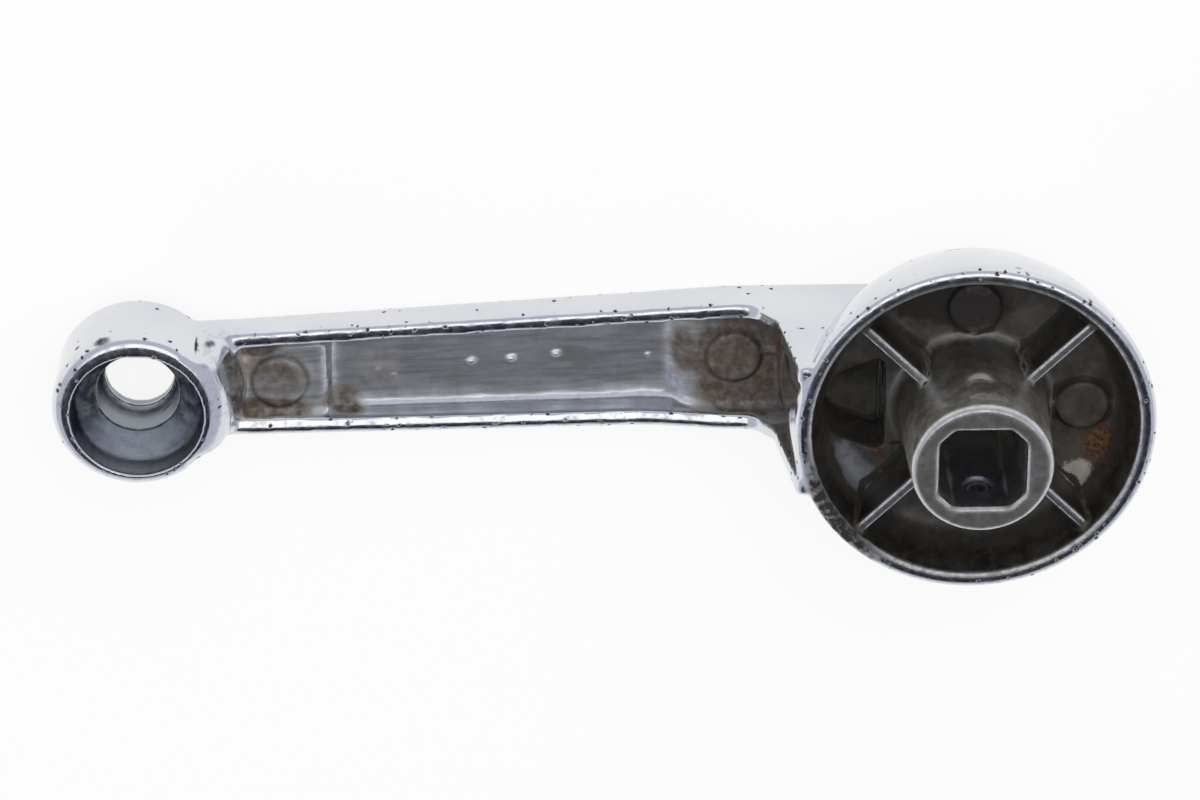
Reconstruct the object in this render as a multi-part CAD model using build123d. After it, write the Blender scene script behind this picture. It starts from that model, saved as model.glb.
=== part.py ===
"""Window winder crank: one zinc die casting, knob lost.

The hub is a bell with a shallow cup on the door side and a square drive boss
standing out of the cup.  A channel arm leaves the bell near its front face and
ends in a bored ring for the knob.  The casting lies on its front face, so the
door side is up.  The origin is the middle of the socket's mouth, Z runs out of
the socket, and the arm runs along -X.
"""
from build123d import *
import math
import os

# ---- Drive boss and socket --------------------------------------------------
boss_stand = 7.9          # boss end above the cup's rim
boss_end_r = 7.2
boss_draft = 2.0          # degrees a side
boss_edge = 0.45          # chamfer round the boss end
socket_across = 8.6       # across the flats
socket_corner = 1.5       # corner flat left by the drive spindle's form
socket_lead = 0.35        # lead-in at the mouth
socket_depth = 17.0
pin_hole_r = 1.55         # cross pin that holds the spindle
pin_hole_drop = 5.0       # from the boss end down to the pin's axis

# ---- Modelling allowances -----------------------------------------------------
flat_width = 0.35         # turned roundings are cut as flats of about this width
sink = 0.5                # how far raised features start inside the metal
overcut = 1.0             # how far cuts rise past the rim
edge_band = 0.5           # an edge this near a face's level belongs to that face
most_sideways = 0.5       # direction limits of an edge that runs along the arm
most_upright = 0.999

# ---- Hub bell, depths measured down from the rim ----------------------------
bell_r = 18.4             # widest radius, just under the rim
rim_round = 0.9           # rounding of the rim's outer edge
rim_width = 0.8           # flat left on the rim
bell_lean = 6.8           # degrees, wall against the axis at the rim
bell_curve_r = 31.0       # bulge of the bell's side
bell_depth = 19.3         # rim to front face
bell_front_round = 1.4
cup_depth = 6.2
cup_floor_r = 14.8
cup_floor_round = 1.0
boss_foot_round = 0.8

# ---- Ribs and ejector pads in the cup ---------------------------------------
rib_count = 4
rib_top_width = 1.15
rib_foot_width = 2.0
rib_top_round = 0.25
rib_drop = 0.7            # rib tops below the rim
pad_r = 2.7
pad_height = 0.9
pad_circle_r = 11.3
pad_angles = (0, 90, 270)

# ---- Coring pocket in the cup floor, behind the arm -------------------------
pocket_near_x = 8.9       # beside the boss
pocket_near_half = 5.6
pocket_far_x = 13.4       # beside the cup wall
pocket_far_half = 3.7
pocket_bulge_x = 15.5     # middle of its far end, cut a little into the wall
pocket_depth = 6.0        # below the cup floor
pocket_rise = 2.0         # and this far up the wall
pocket_round = 0.9

# ---- Arm ----------------------------------------------------------------------
ring_x = 85.4             # socket axis to knob axis
arm_tip_half = 5.85       # half width where the arm meets the ring
arm_bend_half = 6.95      # half width at the bend
arm_root_half = 7.5       # half width at the bell
bend_x = 33.0             # where the arm turns down to lie level with the bell
flare_x = 24.8            # where the arm has widened to its root
root_x = 22.0             # where the flanges start to climb the bell
tip_x = 76.5              # where the flanges start to climb the ring
bend_round = 70.0         # seen from the side
plan_round = 35.0         # seen from above
web_bend_round = 30.0     # channel floor, seen from the side
web_tip_depth = 16.0      # front face at the ring
arm_bend_height = 4.7     # front face to flange rims, at the bend
arm_root_height = 5.0     # and where they start to climb the bell
arm_tip_height = 4.1      # and at the ring
flange_wall = 1.9
web_wall = 1.3
web_pad_wall = 2.8        # thicker web under the ejector pads
tip_pad_end_x = 66.1
tip_ramp = 0.6            # length of the slope off the pad at the ring
root_pad_end_x = 29.3
root_ramp = 1.4           # and off the pad at the bell
climb_round = 2.2
climb_foot_x = 19.9       # flange edge at the foot of its climb up the bell
climb_foot_height = 7.5
climb_foot_round = 3.0
climb_top_x = 18.1        # and at its top, under the rim
climb_top_drop = 0.35
climb_top_round = 0.8
bell_face_gap = 0.1       # channel's end wall outside the bell's widest radius
bell_face_draft = 2.8     # degrees
arm_edge_round = 0.9      # front edges
flange_edge_round = 0.6   # outer edges of the flange rims
channel_round = 1.0       # floor to flange
disc_r = 2.7
disc_height = 0.4
tip_disc_x = 70.9
tip_disc_y = -0.4
root_disc_x = 23.85
root_disc_y = 0.3
nib_length = 1.5          # short rib between the root disc and the bell
nib_width = 0.4
nib_height = 0.35
nib_x = 20.2
nib_y = 0.9

# ---- Knob ring, depths measured down from the hub's rim ----------------------
ring_height = 9.6         # front face to rim
ring_rim_r = 8.65
ring_front_r = 8.35
ring_shoulder = 1.5       # rounding of the ring's near edge
ring_front_round = 0.9
ring_climb_drop = 0.9     # flange tops below the ring's rim where they meet
ring_climb_x = 79.8
ring_climb_round = 1.6
ring_face_gap = 0.2       # channel's end wall outside the ring
ring_face_draft = 9.0     # degrees
mouth_r = 6.85
mouth_shift_x = 0.1       # the core stands this far off the ring's middle
mouth_shift_y = -0.4
seat_r = 6.5
seat_depth = 2.8          # from the ring's rim
throat_r = 4.25
throat_depth = 4.4
knob_bore_r = 3.5
knob_bore_length = 1.4

# ---- Derived levels -----------------------------------------------------------
rim_z = -boss_stand
front_z = rim_z - bell_depth
cup_z = rim_z - cup_depth
cup_mouth_r = bell_r - rim_round - rim_width
ring_front_z = rim_z - web_tip_depth
ring_rim_z = ring_front_z + ring_height
ring_climb_z = ring_rim_z - ring_climb_drop


def level(depth):
    """Height of a point that lies this far below the hub's rim."""
    return rim_z - depth


def front_depth(x):
    """Depth of the arm's front face; level at the bell, rising to the ring."""
    if x <= bend_x:
        return bell_depth
    share = min((x - bend_x) / (tip_x - bend_x), 1)
    return bell_depth + share * (web_tip_depth - bell_depth)


def eased_corner(before, corner, after, rounding):
    """Points along a corner that short flats round off, or the corner itself."""
    if not rounding:
        return [corner]
    begin = corner + (before - corner).normalized() * rounding
    finish = corner + (after - corner).normalized() * rounding
    flats = max(3, round(rounding / flat_width))
    shares = [number / flats for number in range(flats + 1)]
    return [
        begin * (1 - t) ** 2 + corner * (2 * t * (1 - t)) + finish * t**2 for t in shares
    ]


def turned(corners):
    """Solid turned from an outline of (radius, height, rounding) corners."""
    places = [Vector(radius, height) for radius, height, _ in corners]
    points = []
    for number, (_, _, rounding) in enumerate(corners):
        before = places[number - 1]
        after = places[(number + 1) % len(places)]
        points += eased_corner(before, places[number], after, rounding)
    outline = make_face(Polyline(*points, close=True))
    return revolve(Plane.XZ * outline, Axis.Z)


def bell():
    """Outside of the hub, with no cup in it."""
    lean = math.radians(bell_lean)
    fall = bell_depth - rim_round - bell_front_round
    turn = math.asin(math.sin(lean) + fall / bell_curve_r) - lean
    side = JernArc(
        (bell_r, level(rim_round)),
        (-math.sin(lean), -math.cos(lean)),
        bell_curve_r,
        -math.degrees(turn),
    )
    foot = side @ 1
    front_corner = foot + Vector(-math.tan(lean + turn), -1) * bell_front_round
    middle = Vector(0, front_z)
    front = eased_corner(foot, front_corner, middle, bell_front_round)
    rim_corner = Vector(bell_r, rim_z)
    rim = eased_corner(side @ 0, rim_corner, Vector(0, rim_z), rim_round)
    ends = Polyline(side @ 1, *front[1:], middle, (0, rim_z), *reversed(rim))
    return revolve(Plane.XZ * make_face([side, ends]), Axis.Z)


def cup():
    """Space inside the bell's rim."""
    return turned(
        [
            (0, cup_z, 0),
            (cup_floor_r, cup_z, cup_floor_round),
            (cup_mouth_r, rim_z, 0),
            (0, rim_z, 0),
        ]
    )


def pocket():
    """Coring pocket that thins the mass where the arm joins the bell."""
    corners = [
        (-pocket_far_x, pocket_far_half),
        (-pocket_near_x, pocket_near_half),
        (-pocket_near_x, -pocket_near_half),
        (-pocket_far_x, -pocket_far_half),
    ]
    lines = [
        Polyline(*corners),
        ThreePointArc(corners[3], (-pocket_bulge_x, 0), corners[0]),
    ]
    outline = make_face(lines)
    outline = fillet(outline.vertices(), pocket_round)
    return extrude(Pos(0, 0, cup_z + pocket_rise) * outline, -(pocket_depth + pocket_rise))


def boss():
    """Drive boss with its foot on the cup floor."""
    height = boss_stand + cup_depth
    foot_r = boss_end_r + height * math.tan(math.radians(boss_draft))
    foot = foot_r + boss_foot_round
    outline = Polyline(
        (0, cup_z - boss_foot_round),
        (foot, cup_z - boss_foot_round),
        (foot, cup_z),
        (foot_r, cup_z + boss_foot_round),
        (boss_end_r, -boss_edge),
        (boss_end_r - boss_edge, 0),
        (0, 0),
        close=True,
    )
    return revolve(Plane.XZ * make_face(outline), Axis.Z)


def ribs():
    """Ribs between the boss and the cup wall."""
    top = rim_z - rib_drop
    half_top = rib_top_width / 2
    half_foot = rib_foot_width / 2
    section = Polyline(
        (-half_foot, cup_z - sink),
        (half_foot, cup_z - sink),
        (half_top, top),
        (-half_top, top),
        close=True,
    )
    start = boss_end_r - sink
    length = cup_mouth_r - start
    bar = extrude(Plane.YZ.offset(start) * make_face(section), length)
    tops = bar.edges().filter_by(Axis.X).sort_by(Axis.Z)[-2:]
    bar = fillet(tops, rib_top_round)
    return [Rot(0, 0, 45 + 360 / rib_count * i) * bar for i in range(rib_count)]


def cup_pads():
    """Round ejector pads on the cup floor."""
    pad = extrude(Pos(pad_circle_r, 0, cup_z - sink) * Circle(pad_r), sink + pad_height)
    return [Rot(0, 0, angle) * pad for angle in pad_angles]


def arm_plan(inset):
    """Arm seen from above, drawn in from its sides by inset."""
    corners = [
        (-ring_x, arm_tip_half - inset),
        (-bend_x, arm_bend_half - inset),
        (-flare_x, arm_root_half - inset),
        (0, arm_root_half - inset),
    ]
    upper = FilletPolyline(*corners, radius=plan_round)
    lower = mirror(upper, about=Plane.XZ)
    ends = [Line(upper @ 1, lower @ 1), Line(upper @ 0, lower @ 0)]
    return make_face([upper, lower, *ends])


def arm_side():
    """Arm seen from the side: flange rims on top, front face below."""
    corners = [
        (-ring_x, ring_climb_z, 0),
        (-ring_climb_x, ring_climb_z, ring_climb_round),
        (-tip_x, ring_front_z + arm_tip_height, ring_climb_round),
        (-bend_x, front_z + arm_bend_height, bend_round),
        (-root_x, front_z + arm_root_height, climb_round),
        (-climb_foot_x, front_z + climb_foot_height, climb_foot_round),
        (-climb_top_x, level(climb_top_drop), climb_top_round),
        (0, level(climb_top_drop), 0),
        (0, front_z, 0),
        (-bend_x, front_z, bend_round),
        (-tip_x, level(web_tip_depth), bend_round),
        (-ring_x, level(web_tip_depth), 0),
    ]
    points = [(x, z) for x, z, _ in corners]
    outline = Polyline(*points, close=True)
    face = make_face(outline)
    for x, z, radius in corners:
        if radius:
            corner = face.vertices().sort_by_distance((x, z))[0]
            face = fillet(corner, radius)
    return face


def lengthwise_edges(solid, lowest, highest):
    """Edges that run along the arm, between two heights above its front face."""
    def wanted(edge):
        middle = edge @ 0.5
        run = edge % 0.5
        height = middle.Z - level(front_depth(-middle.X))
        along = abs(run.Y) < most_sideways and abs(run.Z) < most_upright
        off_middle = abs(middle.Y) > arm_tip_half / 2
        return along and off_middle and lowest < height < highest

    return [edge for edge in solid.edges() if wanted(edge)]


def arm():
    """Arm before its channel is cut, with its outer edges rounded."""
    side = extrude(Plane.XZ * arm_side(), 2 * bell_r, both=True)
    plan = extrude(arm_plan(0), 2 * front_z)
    solid = side & plan
    solid = fillet(lengthwise_edges(solid, -edge_band, edge_band), arm_edge_round)
    return fillet(lengthwise_edges(solid, edge_band, 2 * bell_depth), flange_edge_round)


def ring():
    """Knob ring before it is bored."""
    solid = turned(
        [
            (0, ring_front_z, 0),
            (ring_front_r, ring_front_z, ring_front_round),
            (ring_rim_r, ring_rim_z, ring_shoulder),
            (0, ring_rim_z, 0),
        ]
    )
    return Pos(-ring_x, 0, 0) * solid


def ring_bore():
    """Counterbore, throat and lip that the knob's stud passes through."""
    seat_z = ring_rim_z - seat_depth
    throat_z = ring_rim_z - throat_depth
    lip_z = ring_front_z + knob_bore_length
    mouth = turned(
        [
            (0, ring_rim_z, 0),
            (mouth_r, ring_rim_z, 0),
            (seat_r, seat_z, 0),
            (0, seat_z, 0),
        ]
    )
    throat = turned(
        [
            (0, seat_z, 0),
            (seat_r, seat_z, 0),
            (throat_r, throat_z, 0),
            (throat_r, lip_z, 0),
            (knob_bore_r, lip_z, 0),
            (knob_bore_r, ring_front_z, 0),
            (0, ring_front_z, 0),
        ]
    )
    shifted = Pos(mouth_shift_x - ring_x, mouth_shift_y, 0) * mouth
    return shifted + Pos(-ring_x, 0, 0) * throat


def channel_side(stops):
    """Stretch of the channel seen from the side, over a web given as (x, wall)."""
    top = rim_z + overcut
    floor = [(-x, level(front_depth(x) - wall)) for x, wall in stops]
    near, far = (floor[0][0], top), (floor[-1][0], top)
    face = make_face(Polyline(near, *floor, far, close=True))
    for kink, (x, _) in zip(floor, stops):
        if x in (bend_x, tip_x):
            face = fillet(face.vertices().sort_by_distance(kink)[0], web_bend_round)
    return face


def channel_stretch(*stops):
    """Space between the flanges along one stretch, rounded along its floor."""
    space = extrude(Plane.XZ * channel_side(stops), 2 * bell_r, both=True)
    space &= extrude(arm_plan(flange_wall), 2 * front_z)
    thinnest = min(wall for _, wall in stops)
    return fillet(lengthwise_edges(space, 0, thinnest + edge_band), channel_round)


def channel():
    """Space between the flanges, from the ring to the bell's end wall."""
    space = channel_stretch(
        (root_pad_end_x, web_pad_wall),
        (root_pad_end_x + root_ramp, web_wall),
        (bend_x, web_wall),
        (tip_pad_end_x - tip_ramp, web_wall),
        (tip_pad_end_x, web_pad_wall),
    )
    space += channel_stretch((0, web_pad_wall), (root_pad_end_x + sink, web_pad_wall))
    space += channel_stretch(
        (tip_pad_end_x - sink, web_pad_wall), (tip_x, web_pad_wall), (ring_x, web_pad_wall)
    )
    bell_face = leaning_post(bell_r + bell_face_gap, bell_face_draft)
    ring_face = leaning_post(ring_rim_r + ring_face_gap, ring_face_draft)
    return space - bell_face - Pos(-ring_x, 0, 0) * ring_face


def leaning_post(radius, draft):
    """Round post as high as the casting, wider towards its front by the draft."""
    foot_r = radius + bell_depth * math.tan(math.radians(draft))
    top = rim_z + overcut
    return turned([(0, front_z, 0), (foot_r, front_z, 0), (radius, top, 0), (0, top, 0)])


def web_discs():
    """Ejector pads on the web, and the short rib beside the root one."""
    pieces = []
    for x, y in ((tip_disc_x, tip_disc_y), (root_disc_x, root_disc_y)):
        floor_z = level(front_depth(x) - web_pad_wall)
        pieces.append(Pos(-x, y, floor_z) * Cylinder(disc_r, 2 * disc_height))
    nib = Box(nib_length, nib_width, 2 * nib_height)
    pieces.append(Pos(-nib_x, nib_y, level(front_depth(nib_x) - web_pad_wall)) * nib)
    return pieces


def socket():
    """Blind square that the spindle drives, with its lead-in."""
    outline = Rectangle(socket_across, socket_across)
    outline = chamfer(outline.vertices(), socket_corner)
    blind = extrude(outline, -socket_depth)
    wide = offset(outline, socket_lead)
    lead = loft([wide, Pos(0, 0, -socket_lead) * outline])
    return blind + lead


def pin_hole():
    """Cross hole through both walls of the boss."""
    return Pos(0, 0, -pin_hole_drop) * Rot(90, 0, 0) * Cylinder(
        pin_hole_r, 4 * boss_end_r
    )


def casting():
    """The whole crank as one solid."""
    solid = bell() + (arm() - channel()) + ring()
    for space in (cup(), pocket(), ring_bore()):
        solid -= space
    for piece in (boss(), *ribs(), *cup_pads(), *web_discs()):
        solid += piece
    for hole in (socket(), pin_hole()):
        solid -= hole
    return solid


os.makedirs("parts", exist_ok=True)
crank_casting = casting()
crank_casting.label = "crank_casting"
export_step(crank_casting, "parts/crank_casting.step")
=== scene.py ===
import math

import bpy
import numpy as np
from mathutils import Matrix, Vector, kdtree


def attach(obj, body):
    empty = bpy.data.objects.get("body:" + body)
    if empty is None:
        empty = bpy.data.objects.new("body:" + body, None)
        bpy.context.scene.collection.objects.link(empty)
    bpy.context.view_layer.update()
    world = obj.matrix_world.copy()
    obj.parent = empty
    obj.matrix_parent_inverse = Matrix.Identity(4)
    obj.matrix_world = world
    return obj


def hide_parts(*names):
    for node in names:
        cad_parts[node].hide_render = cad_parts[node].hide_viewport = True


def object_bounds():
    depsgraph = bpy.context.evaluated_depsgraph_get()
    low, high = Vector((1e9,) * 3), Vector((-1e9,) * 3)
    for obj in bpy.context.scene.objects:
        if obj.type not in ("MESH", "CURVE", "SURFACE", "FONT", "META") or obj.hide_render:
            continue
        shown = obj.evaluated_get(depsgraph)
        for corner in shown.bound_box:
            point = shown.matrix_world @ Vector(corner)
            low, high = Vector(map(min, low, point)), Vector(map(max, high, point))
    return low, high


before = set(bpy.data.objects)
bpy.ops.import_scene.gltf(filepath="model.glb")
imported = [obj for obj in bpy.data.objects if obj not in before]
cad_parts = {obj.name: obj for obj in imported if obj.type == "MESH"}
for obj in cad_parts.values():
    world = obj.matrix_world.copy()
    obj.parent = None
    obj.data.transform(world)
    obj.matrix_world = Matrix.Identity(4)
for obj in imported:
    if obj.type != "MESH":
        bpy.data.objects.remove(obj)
CAD_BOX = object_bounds()

bl_info = {
    "name": "Worn window crank",
    "version": (1, 0, 0),
    "blender": (4, 5, 0),
    "location": "View3D > Sidebar > Crank",
    "description": "Dresses the cast crank: plated skin, bare zinc inside, wear and stains",
    "category": "Object",
}

MM = 0.001
NODE = "crank_casting"
BODY = "root"

# Levels and radii of the casting in mm, origin at the socket's mouth.
RIM_Z = -7.9
CUP_Z = -14.1
CUP_FLOOR_R = 14.8
CUP_MOUTH_R = 16.7
BOSS_R = 7.7
POCKET_FLOOR_Z = -20.1
SOCKET_FLOOR_Z = -17.0
PIN_Z = -5.0
FRONT_Z = CAD_BOX[0].z / MM
RING_X = -85.4
RING_RIM_Z = -14.3
MOUTH_X, MOUTH_Y, MOUTH_R = -85.3, -0.4, 6.85
THROAT_Z = -18.7
ARM_END_X = -76.9
ARM_ROOT_X = -19.0
WEB_DISCS = ((-70.9, -0.4), (-23.85, 0.3))
WEB_DISC_R = 2.7
WEB_GROOVE_R = WEB_DISC_R + 0.22
WEB_LEVELS = (-26.0, -20.0)
FLANGE_WIDTH = 1.9
HOLE_DIRT_R = 1.75

# Small raised pips on the web: middle in X and Y, and half length along X.
WEB_PIPS = (
    (-51.1, 0.1, 0.75), (-47.0, 0.2, 0.75), (-42.3, 0.5, 0.75),
    (-60.8, -0.5, 0.35), (-59.2, -1.1, 0.35), (-32.8, -0.2, 0.3),
)
PIP_HEIGHT = 0.30

# A raised flow line on the cup's floor, and the slope of edges that are worn inside.
FLOW_LINE = ((-8.9, -7.9), (-10.6, -11.0), (-11.4, -12.9))
FLOW_LINE_HEIGHT = 0.30
WORN_SLOPE = 0.34
GROOVE_DEPTH = 0.08

# Height of each tooth of the torn lip in the ring's front hole.
BURR_TEETH = (0.02, 0.30, 0.12, 0.05, 0.22, 0.40, 0.15, 0.28, 0.02)

# Outline of the metal between the ring and the channel: distance from the ring's
# axis and height.
HEEL_OUTLINE = (
    (7.6, -22.3), (10.8, -22.0), (10.65, -20.6), (10.35, -18.6),
    (9.9, -16.7), (9.3, -15.4), (8.6, -14.7), (7.6, -14.5),
)
HEEL_HALF = 5.55

# Stains and marks of each kind: middle, half lengths along X, Y and Z in mm, and
# strength.
MARKS = {
    "stain": (
        ((-22.0, 0.2, -23.0), (9.5, 9.0, 6.5), 0.95),
        ((-29.5, 1.2, -24.4), (3.6, 5.0, 2.0), 0.60),
        ((-72.5, -3.6, -21.0), (7.5, 2.4, 2.2), 0.90),
        ((-75.6, 0.0, -20.6), (1.7, 6.0, 3.6), 0.70),
        ((-63.6, -3.0, -22.6), (3.0, 3.2, 1.8), 0.80),
        ((-73.0, 3.9, -20.8), (4.4, 2.0, 2.0), 0.90),
        ((-71.5, 0.0, -21.2), (5.5, 5.5, 1.6), 0.50),
        ((-60.0, 0.0, -23.0), (4.0, 4.5, 1.6), 0.40),
        ((-23.0, -3.0, -24.0), (7.0, 5.0, 3.0), 0.95),
    ),
    "rust": (
        ((13.6, -5.0, -14.1), (3.2, 3.2, 1.6), 0.95),
        ((14.6, -7.2, -13.6), (1.4, 3.2, 1.8), 0.55),
        ((-9.4, -5.6, -14.1), (1.3, 0.9, 0.8), 0.75),
        ((-11.2, -11.9, -14.1), (0.9, 2.0, 0.8), 0.50),
        ((-19.2, 2.6, -23.6), (1.2, 2.4, 2.4), 0.60),
        ((-18.9, -2.4, -21.5), (1.2, 3.0, 2.8), 0.50),
        ((-75.0, -3.6, -20.4), (2.0, 1.2, 1.4), 0.60),
        ((-66.2, -2.6, -21.8), (0.8, 1.6, 1.0), 0.50),
        ((-22.1, 4.2, -22.2), (3.0, 1.6, 0.8), 0.45),
        ((9.6, -3.4, -14.1), (1.6, 1.1, 1.0), 0.45),
    ),
    "pale": (
        ((-13.2, -5.8, -14.1), (3.0, 2.4, 1.4), 0.90),
        ((-12.2, -8.8, -14.1), (3.6, 4.2, 1.8), 1.00),
        ((-11.4, -11.8, -14.1), (1.8, 2.4, 1.4), 0.60),
        ((0.0, -4.3, -6.5), (5.0, 0.6, 6.5), 0.85),
        ((-65.2, 1.2, -22.2), (0.8, 4.4, 1.4), 0.60),
    ),
    "scraped": (
        ((11.2, -8.6, -14.1), (2.8, 2.8, 1.2), 1.00),
        ((-74.1, 1.6, -21.1), (1.9, 3.2, 1.4), 1.00),
    ),
    # The soot marks are partly dark specks of dirt, as on the web, and partly painted shade:
    # in the corner under the +Y flange at the arm's root, on the cup's floor under its +Y
    # wall, in the pocket, and a painted dark reflection on the ring's left wall.
    "soot_and_shade": (
        ((0.0, 1.6, -15.5), (6.0, 4.4, 9.0), 1.00),
        ((-56.4, 2.0, -23.3), (0.7, 0.5, 0.6), 1.00),
        ((-54.4, 0.5, -23.4), (0.4, 0.4, 0.5), 1.00),
        ((-44.1, 3.7, -24.0), (0.9, 0.4, 0.6), 1.00),
        ((-41.8, 3.3, -24.1), (0.4, 0.5, 0.5), 1.00),
        ((-39.3, 2.0, -24.2), (0.4, 0.4, 0.5), 1.00),
        ((-51.1, 1.0, -23.8), (0.6, 0.3, 0.5), 0.90),
        ((-42.5, 1.4, -24.0), (0.6, 0.3, 0.5), 0.90),
        ((-12.0, -7.0, -7.9), (9.0, 13.0, 0.7), 0.78),
        ((-23.5, 5.4, -23.4), (7.0, 1.5, 2.4), 0.60),
        ((-98.0, -1.0, -17.0), (4.6, 6.5, 5.0), 0.40),
        ((-77.0, 5.9, -18.2), (1.8, 0.45, 1.3), 0.80),
        ((-79.1, 6.6, -17.6), (0.28, 2.0, 2.9), 0.95),
        ((-2.0, 11.4, -13.8), (11.0, 4.6, 2.6), 0.85),
        ((-12.2, 2.2, -17.0), (6.0, 6.4, 6.0), 1.00),
        ((-88.6, 7.9, -15.2), (1.7, 0.9, 0.9), 0.70),
        ((-7.7, -4.5, -13.8), (1.4, 0.7, 0.8), 0.85),
        ((0.8, 7.2, -2.2), (3.4, 1.4, 1.0), 0.55),
    ),
}

# Colours of the finish that no setting holds.
TONES = {
    "polish shade": (0.67, 0.69, 0.73),
    "worn flat": (0.36, 0.38, 0.43),
    "thin plating shade": (0.43, 0.44, 0.44),
    "thin plating streak": (0.31, 0.31, 0.30),
    "zinc shade": (0.090, 0.080, 0.065),
    "zinc spot": (0.20, 0.195, 0.175),
    "boss dark": (0.34, 0.32, 0.27),
    "boss light": (0.50, 0.49, 0.46),
    "bore dark": (0.050, 0.060, 0.070),
    "bore light": (0.18, 0.205, 0.23),
    # Painted light for the walls of the bore and the channel that face +Y.
    "bore painted light": (0.32, 0.35, 0.39),
    "channel painted light": (0.80, 0.83, 0.87),
    "rubbed end": (0.62, 0.62, 0.63),
    "speck": (0.030, 0.028, 0.028),
    "scraped": (0.80, 0.75, 0.66),
    "pale": (0.42, 0.445, 0.49),
    "black rust": (0.020, 0.014, 0.011),
}

# The studio: a dark patch in the ceiling with its direction, a strip overhead that is
# brighter than white, a lavender ring round it, and white near the floor. Places are
# in m and turns in degrees.
DARK_CEILING = (0.017, -0.479, 0.878)
CEILING_SHADES = ((0.865, (1.0, 1.0, 1.0)), (0.915, (0.040, 0.042, 0.054)))
DOME_SHADES = (
    (0.10, (1.0, 1.0, 1.0)), (0.38, (0.56, 0.57, 0.66)),
    (0.86, (0.56, 0.57, 0.66)), (0.93, (1.4, 1.4, 1.4)),
)
FLOOR_REACH = 1.5
FLOOR_GLOW = 0.85
LAMP_TARGET = (-0.038, 0.0, -0.017)
KEY_PLACE, KEY_SIDE = (0.10, 0.48, 0.52), 0.8
FILL_PLACE, FILL_SIDE = (-0.55, -0.35, 0.30), 0.5
CAMERA_PLACE = (-0.046939, 0.254853, 0.451755)
CAMERA_TURN = (-28.582, -1.230, -0.235)


# ---- Settings a user would change ------------------------------------------

class CrankSizes(bpy.types.PropertyGroup):
    """Sizes of the casting's skin and its wear."""

    mesh_step: bpy.props.FloatProperty(
        name="Mesh step",
        description="Side of one face of the skin, in millimetres",
        default=0.25, min=0.1, max=1.0,
    )
    edge_rounds: bpy.props.IntProperty(
        name="Edge wear",
        description="How often the edges are rubbed down",
        default=5, min=0, max=20,
    )
    sway: bpy.props.FloatProperty(
        name="Hand polish",
        description="Waviness of the polished outside, in millimetres",
        default=0.015, min=0.0, max=0.2,
    )
    grain: bpy.props.FloatProperty(
        name="Cast grain",
        description="Roughness of the unpolished inside, in millimetres",
        default=0.035, min=0.0, max=0.2,
    )
    pit_count: bpy.props.IntProperty(
        name="Pits",
        description="Blown pits in the plating",
        default=45, min=0, max=5000,
    )
    pit_depth: bpy.props.FloatProperty(
        name="Pit depth",
        description="Depth of the deepest pit, in millimetres",
        default=0.10, min=0.0, max=0.4,
    )


class CrankFinish(bpy.types.PropertyGroup):
    """Colours of the plating, the bare zinc, the dirt and the painted shade."""

    plating: bpy.props.FloatVectorProperty(
        name="Plating", description="Bright outside", subtype="COLOR",
        size=3, min=0.0, max=1.0, default=(0.74, 0.75, 0.77),
    )
    dull_plating: bpy.props.FloatVectorProperty(
        name="Thin plating", description="Dull plating in the channel", subtype="COLOR",
        size=3, min=0.0, max=1.0, default=(0.68, 0.71, 0.72),
    )
    zinc: bpy.props.FloatVectorProperty(
        name="Bare zinc", description="Cast metal in the cup", subtype="COLOR",
        size=3, min=0.0, max=1.0, default=(0.185, 0.172, 0.148),
    )
    stain: bpy.props.FloatVectorProperty(
        name="Brown stain", description="Old grease baked on the web", subtype="COLOR",
        size=3, min=0.0, max=1.0, default=(0.085, 0.062, 0.042),
    )
    # Grime colour: grease in the corners, and also painted shade in the nooks, the cup's
    # depths and the soot marks.
    grime_and_shade: bpy.props.FloatVectorProperty(
        name="Grime", description="Old grease and dirt in the corners", subtype="COLOR",
        size=3, min=0.0, max=1.0, default=(0.020, 0.018, 0.015),
    )
    rust: bpy.props.FloatVectorProperty(
        name="Rust stain", description="Orange brown stain", subtype="COLOR",
        size=3, min=0.0, max=1.0, default=(0.14, 0.055, 0.020),
    )
    bloom: bpy.props.FloatVectorProperty(
        name="White rust", description="Pale zinc bloom", subtype="COLOR",
        size=3, min=0.0, max=1.0, default=(0.26, 0.28, 0.21),
    )


class CrankStage(bpy.types.PropertyGroup):
    """Floor, light and lens."""

    floor: bpy.props.FloatVectorProperty(
        name="Floor", description="Colour of the floor", subtype="COLOR",
        size=3, min=0.0, max=1.0, default=(0.90, 0.90, 0.90),
    )
    lamp_power: bpy.props.FloatProperty(
        name="Key lamp", description="Power of the large soft lamp", unit="POWER",
        default=3.4, min=0.0, max=50.0,
    )
    fill_power: bpy.props.FloatProperty(
        name="Fill lamp", description="Power of the soft lamp opposite", unit="POWER",
        default=0.8, min=0.0, max=50.0,
    )
    lens: bpy.props.FloatProperty(
        name="Lens", description="Focal length in millimetres on a 36 mm sensor",
        default=156.0, min=10.0, max=400.0,
    )


# ---- The casting's skin -------------------------------------------------------

def array_of(items, name, width, kind=float):
    """One attribute of every item as an array."""
    flat = np.empty(len(items) * width, kind)
    items.foreach_get(name, flat)
    return flat.reshape(-1, width) if width > 1 else flat


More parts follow.
